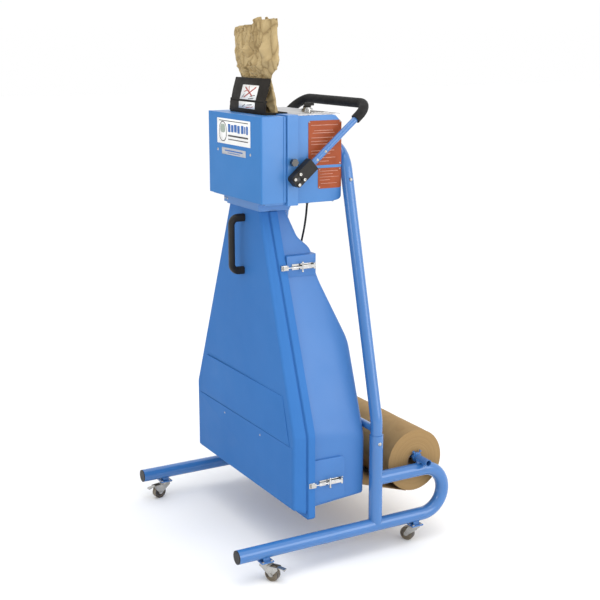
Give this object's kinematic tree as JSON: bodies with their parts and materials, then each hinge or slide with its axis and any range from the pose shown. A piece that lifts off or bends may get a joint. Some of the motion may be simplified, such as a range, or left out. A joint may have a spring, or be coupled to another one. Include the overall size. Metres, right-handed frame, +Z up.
{
  "type": "paper cushioning converter",
  "caption": "Paper cushioning converter: kraft roll, tapering chute and a powered crimping head with a hand cutting lever, on a wheeled tubular stand.",
  "frame": {"origin": "on the floor, at the middle of the stand's footprint", "axes": "+Z up; -Y towards the operator, on the side of the pull handle; +X to the side that carries the orange plates"},
  "size_m": [0.9562, 0.8569, 1.8483],
  "materials": {
    "blue_paint": "glossy powder coat",
    "blue_plastic": "moulded, semi-gloss",
    "black_plastic": "satin",
    "black_foam": "matte foam",
    "black_cord": "satin",
    "zinc": "bright zinc plate",
    "chrome": "polished",
    "steel": "ground",
    "dark_metal": "satin",
    "kraft": "matte, creased",
    "core_board": "matte",
    "tread": "satin",
    "orange_plate": "satin print",
    "white_plate": "satin print"
  },
  "bodies": {
    "machine": {"side_frame_right": "blue_paint", "side_frame_left": "blue_paint", "upper_hoop": "blue_paint", "tube_end_caps": "black_plastic", "bolts_and_screws": "zinc", "roll_axle": "blue_paint", "axle_collars": "blue_paint", "paper_web": "kraft", "caster_plates": "zinc", "rear_shell": "blue_plastic", "neck_collar": "blue_paint", "latch_bases": "chrome", "forming_frame": "steel", "head_chassis": "blue_paint", "head_front_cover": "blue_paint", "head_rear_cover": "blue_paint", "top_deck": "steel", "outlet_throat": "dark_metal", "paper_pad": "kraft", "gearmotor": "dark_metal", "gear_bearings": "steel", "selector_base": "chrome", "side_plates": "orange_plate", "front_plates": "white_plate", "strain_relief": "black_cord", "power_cord": "black_cord", "cord_coil": "black_cord", "power_plug": "black_cord"},
    "roll": {"paper_roll": "kraft", "roll_core": "core_board"},
    "fork_fr": {"caster_fork_fr": "zinc"},
    "fork_fl": {"caster_fork_fl": "zinc"},
    "fork_rr": {"caster_fork_rr": "zinc"},
    "fork_rl": {"caster_fork_rl": "zinc"},
    "wheel_fr": {"caster_wheel_fr": "tread"},
    "wheel_fl": {"caster_wheel_fl": "tread"},
    "wheel_rr": {"caster_wheel_rr": "tread"},
    "wheel_rl": {"caster_wheel_rl": "tread"},
    "pedal_fr": {"brake_pedal_fr": "zinc"},
    "pedal_fl": {"brake_pedal_fl": "zinc"},
    "chute_front": {"front_shell": "blue_plastic", "pull_handle": "black_plastic", "shell_screws": "zinc", "latch_keepers": "chrome"},
    "latch_lower_right": {"latch_arm_lower_right": "chrome"},
    "latch_lower_left": {"latch_arm_lower_left": "chrome"},
    "latch_upper_right": {"latch_arm_upper_right": "chrome"},
    "latch_upper_left": {"latch_arm_upper_left": "chrome"},
    "inlet_roller": {"entry_roller": "steel"},
    "gear_front": {"feed_gear_front": "steel"},
    "gear_rear": {"feed_gear_rear": "steel"},
    "flap": {"outlet_flap": "black_plastic"},
    "blade": {"cutter_blade": "steel"},
    "lever": {"lever_shaft": "steel", "lever_tube": "blue_paint", "lever_grip": "black_foam", "lever_clamps": "black_plastic", "lever_bolts": "zinc"},
    "side_knob": {"cover_knob": "black_plastic"},
    "selector": {"selector_knob": "black_plastic"}
  },
  "joints": [
    {"name": "roll_spin", "type": "hinge", "parent": "machine", "child": "roll", "pos_m": [0, 0.308, 0.29295], "axis": [1, 0, 0], "continuous": true},
    {"name": "swivel_fr", "type": "hinge", "parent": "machine", "child": "fork_fr", "pos_m": [0.417, -0.321, 0.0574], "axis": [0, 0, 1], "continuous": true},
    {"name": "wheel_spin_fr", "type": "hinge", "parent": "fork_fr", "child": "wheel_fr", "pos_m": [0.44048, -0.30575, 0.025], "axis": [-0.5446, 0.8387, 0], "continuous": true},
    {"name": "brake_fr", "type": "hinge", "parent": "fork_fr", "child": "pedal_fr", "pos_m": [0.45809, -0.29431, 0.049], "axis": [-0.5446, 0.8387, 0], "range_deg": [0, 12]},
    {"name": "swivel_fl", "type": "hinge", "parent": "machine", "child": "fork_fl", "pos_m": [-0.417, -0.333, 0.0574], "axis": [0, 0, 1], "continuous": true},
    {"name": "wheel_spin_fl", "type": "hinge", "parent": "fork_fl", "child": "wheel_fl", "pos_m": [-0.41214, -0.36057, 0.025], "axis": [0.9848, 0.1736, 0], "continuous": true},
    {"name": "brake_fl", "type": "hinge", "parent": "fork_fl", "child": "pedal_fl", "pos_m": [-0.40849, -0.38126, 0.049], "axis": [0.9848, 0.1736, 0], "range_deg": [0, 12]},
    {"name": "swivel_rr", "type": "hinge", "parent": "machine", "child": "fork_rr", "pos_m": [0.417, 0.288, 0.0574], "axis": [0, 0, 1], "continuous": true},
    {"name": "wheel_spin_rr", "type": "hinge", "parent": "fork_rr", "child": "wheel_rr", "pos_m": [0.39275, 0.274, 0.025], "axis": [0.5, -0.866, 0], "continuous": true},
    {"name": "swivel_rl", "type": "hinge", "parent": "machine", "child": "fork_rl", "pos_m": [-0.417, 0.288, 0.0574], "axis": [0, 0, 1], "continuous": true},
    {"name": "wheel_spin_rl", "type": "hinge", "parent": "fork_rl", "child": "wheel_rl", "pos_m": [-0.445, 0.288, 0.025], "axis": [0, -1, 0], "continuous": true},
    {"name": "chute_front_slide", "type": "slide", "parent": "machine", "child": "chute_front", "axis": [0, -1, 0], "range_m": [0, 0.25]},
    {"name": "latch_lower_right_swing", "type": "hinge", "parent": "machine", "child": "latch_lower_right", "pos_m": [0.404, -0.014, 0.288], "axis": [0, 0, 1], "range_deg": [0, 110]},
    {"name": "latch_lower_left_swing", "type": "hinge", "parent": "machine", "child": "latch_lower_left", "pos_m": [-0.404, -0.014, 0.288], "axis": [0, 0, -1], "range_deg": [0, 110]},
    {"name": "latch_upper_right_swing", "type": "hinge", "parent": "machine", "child": "latch_upper_right", "pos_m": [0.211, -0.014, 1.01], "axis": [0, 0, 1], "range_deg": [0, 110]},
    {"name": "latch_upper_left_swing", "type": "hinge", "parent": "machine", "child": "latch_upper_left", "pos_m": [-0.211, -0.014, 1.01], "axis": [0, 0, -1], "range_deg": [0, 110]},
    {"name": "inlet_roller_spin", "type": "hinge", "parent": "machine", "child": "inlet_roller", "pos_m": [0, -0.01, 0.2936], "axis": [1, 0, 0], "continuous": true},
    {"name": "gear_rear_spin", "type": "hinge", "parent": "machine", "child": "gear_rear", "pos_m": [0, -0.088, 1.385], "axis": [1, 0, 0], "continuous": true},
    {"name": "gear_front_spin", "type": "hinge", "parent": "machine", "child": "gear_front", "pos_m": [0, -0.148, 1.385], "axis": [1, 0, 0], "continuous": true},
    {"name": "flap_swing", "type": "hinge", "parent": "machine", "child": "flap", "pos_m": [0, -0.157, 1.567], "axis": [1, 0, 0], "range_deg": [0, 60]},
    {"name": "lever_swing", "type": "hinge", "parent": "machine", "child": "lever", "pos_m": [0, -0.094, 1.316], "axis": [1, 0, 0], "range_deg": [0, 18]},
    {"name": "blade_slide", "type": "slide", "parent": "machine", "child": "blade", "axis": [0, -1, 0], "range_m": [0, 0.072]},
    {"name": "side_knob_turn", "type": "hinge", "parent": "machine", "child": "side_knob", "pos_m": [0.225, -0.103, 1.371], "axis": [1, 0, 0], "continuous": true},
    {"name": "selector_turn", "type": "hinge", "parent": "machine", "child": "selector", "pos_m": [0.06, 0.042, 1.54], "axis": [0, 0, 1], "range_deg": [-45, 45]}
  ],
  "couplings": [
    {"joint": "gear_front_spin", "follows": "gear_rear_spin", "ratio": -1},
    {"joint": "blade_slide", "follows": "lever_swing", "m_per_rad": 0.227}
  ]
}
